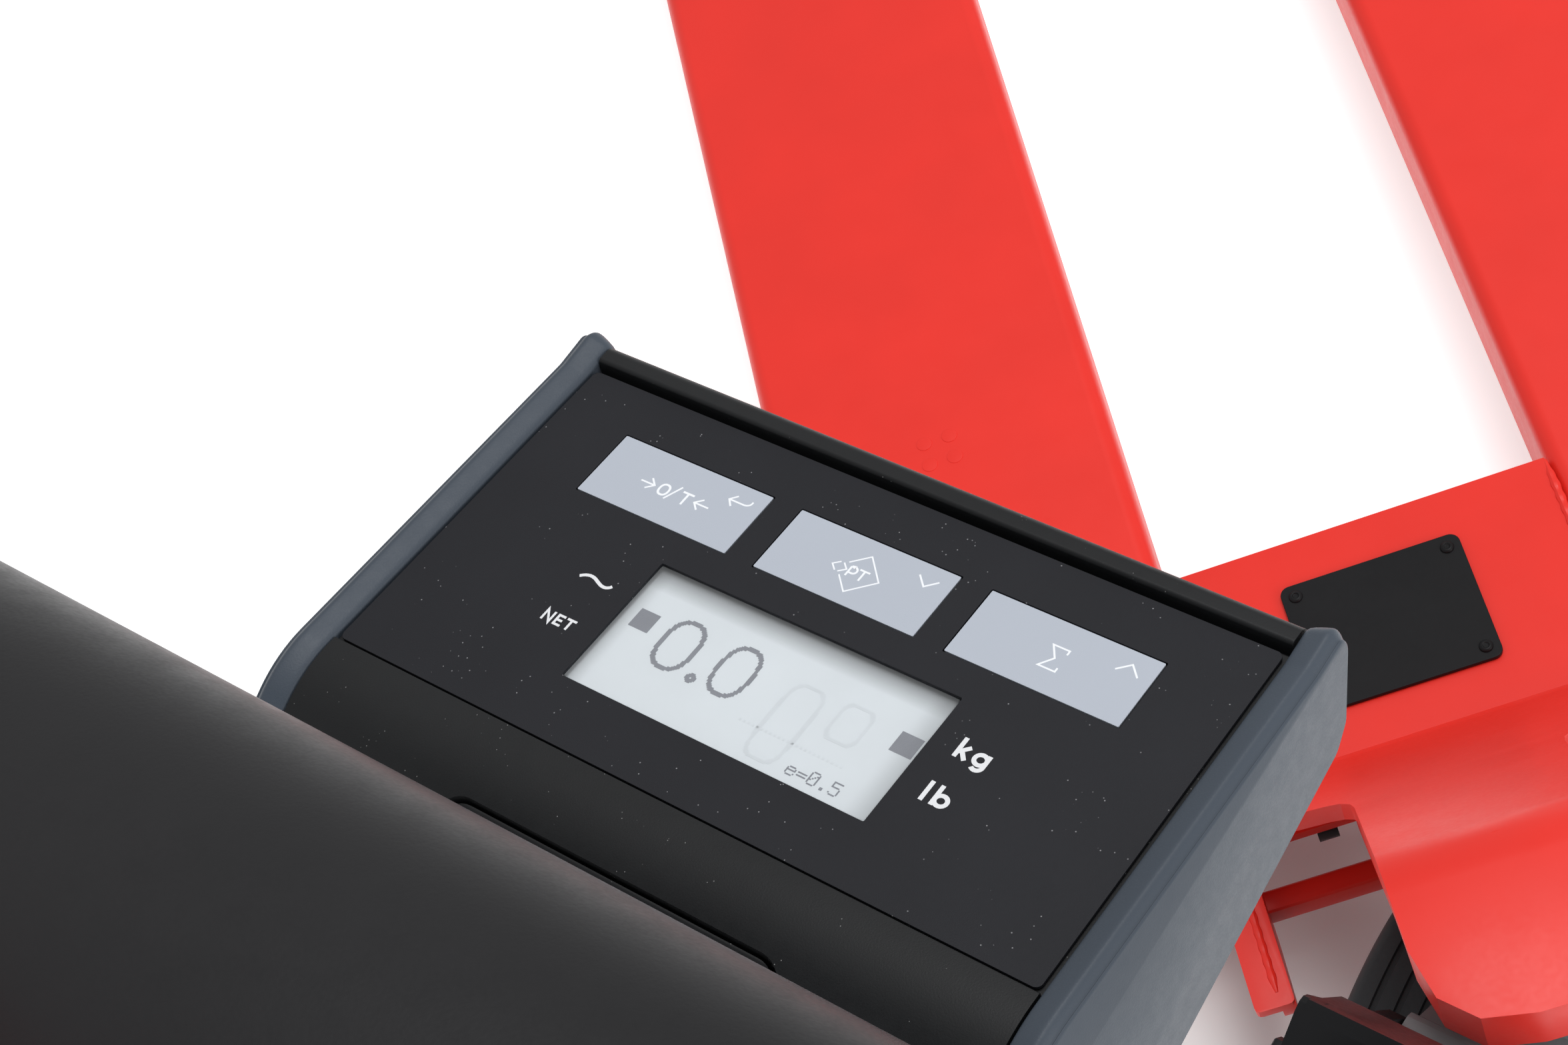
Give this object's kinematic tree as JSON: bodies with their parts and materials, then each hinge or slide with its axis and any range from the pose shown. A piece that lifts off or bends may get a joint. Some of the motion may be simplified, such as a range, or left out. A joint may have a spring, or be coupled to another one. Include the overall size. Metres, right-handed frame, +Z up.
{
  "type": "weighing hand pallet truck",
  "caption": "Hand pallet truck with forks on load cells, a hydraulic lift with a steered tiller, and a weighing indicator with display and keys on the tiller.",
  "frame": {"origin": "on the floor, under the middle of the box of the whole truck in its stored pose", "axes": "+Y along the forks towards their tips, +X to the right of a person standing behind the truck, +Z up"},
  "size_m": [0.6554, 1.638, 1.1481],
  "materials": {
    "red_paint": "satin powder coat, traffic red",
    "inner_red_paint": "satin powder coat in shade",
    "black_paint": "fine textured black powder coat",
    "black_plastic": "moulded black, fine grain",
    "anodised_black": "black anodised extrusion",
    "cap_grey": "fine-grained moulding",
    "foil": "fine-textured membrane foil with white print",
    "key_grey": "light grey membrane key",
    "lcd": "reflective liquid crystal",
    "clear_window": "clear window",
    "steel": "zinc plated or machined",
    "chrome": "hard chrome",
    "cast_grey": "grey painted casting",
    "polyurethane": "amber-brown polyurethane",
    "rubber": "black rubber tyre",
    "circuit_board": "solder mask"
  },
  "bodies": {
    "chassis": {"chassis_head": "red_paint", "junction_box": "cast_grey", "junction_cover": "black_paint", "fork_shell_left": "red_paint", "fork_core_left": "inner_red_paint", "load_cell_left_rear": "steel", "load_cell_left_front": "steel", "arm_pin_left": "steel", "fork_shell_right": "red_paint", "fork_core_right": "inner_red_paint", "load_cell_right_rear": "steel", "load_cell_right_front": "steel", "arm_pin_right": "steel"},
    "steering_ram": {"lift_ram": "chrome", "thrust_bearing": "steel"},
    "pump_unit": {"pump_body": "cast_grey", "steer_axle": "steel", "axle_clip_left": "steel", "axle_clip_right": "steel"},
    "plunger": {"pump_plunger": "chrome"},
    "release_valve": {"valve_lever": "steel"},
    "tiller": {"tiller_base": "red_paint", "tiller_tube": "black_paint", "handle": "black_plastic", "tiller_pin": "steel", "cam_pin": "steel", "lever_pin": "steel", "indicator_bracket": "black_paint", "indicator_body": "anodised_black", "end_cap_left": "cap_grey", "end_cap_right": "cap_grey", "keypad_foil": "foil", "display_window": "clear_window", "lcd_panel": "lcd", "main_board": "circuit_board", "battery_pack": "black_plastic", "cable_gland": "black_plastic"},
    "tiller_cam": {"cam_roller": "steel"},
    "lever": {"control_lever": "red_paint"},
    "cover": {"battery_cover": "anodised_black"},
    "rocker": {"lift_rocker": "black_paint"},
    "zero_key": {"key_zero_tare": "key_grey"},
    "preset_key": {"key_preset": "key_grey"},
    "total_key": {"key_total": "key_grey"},
    "steer_wheel_left": {"wheel_hub_left": "cast_grey", "wheel_tyre_left": "rubber"},
    "arm_left": {"roller_arm_left": "black_paint", "roller_axle_left": "steel"},
    "roller_left": {"load_roller_left": "polyurethane"},
    "link_left": {"link_rod_left": "steel"},
    "steer_wheel_right": {"wheel_hub_right": "cast_grey", "wheel_tyre_right": "rubber"},
    "arm_right": {"roller_arm_right": "black_paint", "roller_axle_right": "steel"},
    "roller_right": {"load_roller_right": "polyurethane"},
    "link_right": {"link_rod_right": "steel"}
  },
  "joints": [
    {"name": "steer", "type": "hinge", "parent": "chassis", "child": "steering_ram", "pos_m": [0.05022, -0.44103, 0.27], "axis": [0, 0, 1], "range_deg": [-45, 135]},
    {"name": "lift", "type": "slide", "parent": "steering_ram", "child": "pump_unit", "axis": [0, 0, -1], "range_m": [0, 0.115]},
    {"name": "tiller_tilt", "type": "hinge", "parent": "pump_unit", "child": "tiller", "pos_m": [0.0078, -0.48345, 0.235], "axis": [0.7071, -0.7071, 0], "range_deg": [0, 62], "stiffness_Nm_per_rad": 12, "springref_deg": -137.51},
    {"name": "plunger_slide", "type": "slide", "parent": "pump_unit", "child": "plunger", "axis": [0, 0, -1], "range_m": [0, 0.0333]},
    {"name": "tiller_cam_spin", "type": "hinge", "parent": "tiller", "child": "tiller_cam", "pos_m": [-0.01341, -0.50467, 0.241], "axis": [0.7071, -0.7071, 0], "continuous": true},
    {"name": "lever_tilt", "type": "hinge", "parent": "tiller", "child": "lever", "pos_m": [-0.19656, -0.68781, 0.995], "axis": [0.7071, -0.7071, 0], "range_deg": [-10, 12], "stiffness_Nm_per_rad": 4},
    {"name": "valve_tilt", "type": "hinge", "parent": "pump_unit", "child": "release_valve", "pos_m": [-0.01341, -0.50467, 0.14], "axis": [0.7071, -0.7071, 0], "range_deg": [-10, 12]},
    {"name": "battery_cover_hinge", "type": "hinge", "parent": "tiller", "child": "cover", "pos_m": [-0.15303, -0.64428, 0.79436], "axis": [0.7071, -0.7071, 0], "range_deg": [0, 40]},
    {"name": "rocker_turn", "type": "hinge", "parent": "chassis", "child": "rocker", "pos_m": [0.05022, -0.26103, 0.06], "axis": [-1, 0, 0], "range_deg": [0, 49.3]},
    {"name": "key_zero_tare_press", "type": "slide", "parent": "tiller", "child": "zero_key", "axis": [-0.1543, -0.1543, -0.9759], "range_m": [0, 0.0004], "stiffness_N_per_m": 400, "springref_m": -0.001},
    {"name": "key_preset_press", "type": "slide", "parent": "tiller", "child": "preset_key", "axis": [-0.1543, -0.1543, -0.9759], "range_m": [0, 0.0004], "stiffness_N_per_m": 400, "springref_m": -0.001},
    {"name": "key_total_press", "type": "slide", "parent": "tiller", "child": "total_key", "axis": [-0.1543, -0.1543, -0.9759], "range_m": [0, 0.0004], "stiffness_N_per_m": 400, "springref_m": -0.001},
    {"name": "steer_wheel_left_spin", "type": "hinge", "parent": "pump_unit", "child": "steer_wheel_left", "pos_m": [0.0131, -0.4039, 0.09], "axis": [0.7071, -0.7071, 0], "continuous": true},
    {"name": "arm_left_turn", "type": "hinge", "parent": "chassis", "child": "arm_left", "pos_m": [-0.13728, 0.53597, 0.06], "axis": [-1, 0, 0], "range_deg": [0, 49.3]},
    {"name": "roller_left_spin", "type": "hinge", "parent": "arm_left", "child": "roller_left", "pos_m": [-0.13728, 0.69897, 0.037], "axis": [1, 0, 0], "continuous": true},
    {"name": "link_left_slide", "type": "slide", "parent": "chassis", "child": "link_left", "axis": [0, -1, 0], "range_m": [0, 0.0243]},
    {"name": "steer_wheel_right_spin", "type": "hinge", "parent": "pump_unit", "child": "steer_wheel_right", "pos_m": [0.08735, -0.47815, 0.09], "axis": [0.7071, -0.7071, 0], "continuous": true},
    {"name": "arm_right_turn", "type": "hinge", "parent": "chassis", "child": "arm_right", "pos_m": [0.23772, 0.53597, 0.06], "axis": [-1, 0, 0], "range_deg": [0, 49.3]},
    {"name": "roller_right_spin", "type": "hinge", "parent": "arm_right", "child": "roller_right", "pos_m": [0.23772, 0.69897, 0.037], "axis": [1, 0, 0], "continuous": true},
    {"name": "link_right_slide", "type": "slide", "parent": "chassis", "child": "link_right", "axis": [0, -1, 0], "range_m": [0, 0.0243]}
  ],
  "couplings": [
    {"joint": "plunger_slide", "follows": "tiller_tilt", "m_per_rad": 0.0306},
    {"joint": "valve_tilt", "follows": "lever_tilt", "ratio": 1},
    {"joint": "rocker_turn", "follows": "lift", "rad_per_m": 7.4063},
    {"joint": "arm_left_turn", "follows": "lift", "rad_per_m": 7.4063},
    {"joint": "link_left_slide", "follows": "lift", "ratio": 0.2087},
    {"joint": "arm_right_turn", "follows": "lift", "rad_per_m": 7.4063},
    {"joint": "link_right_slide", "follows": "lift", "ratio": 0.2087}
  ]
}
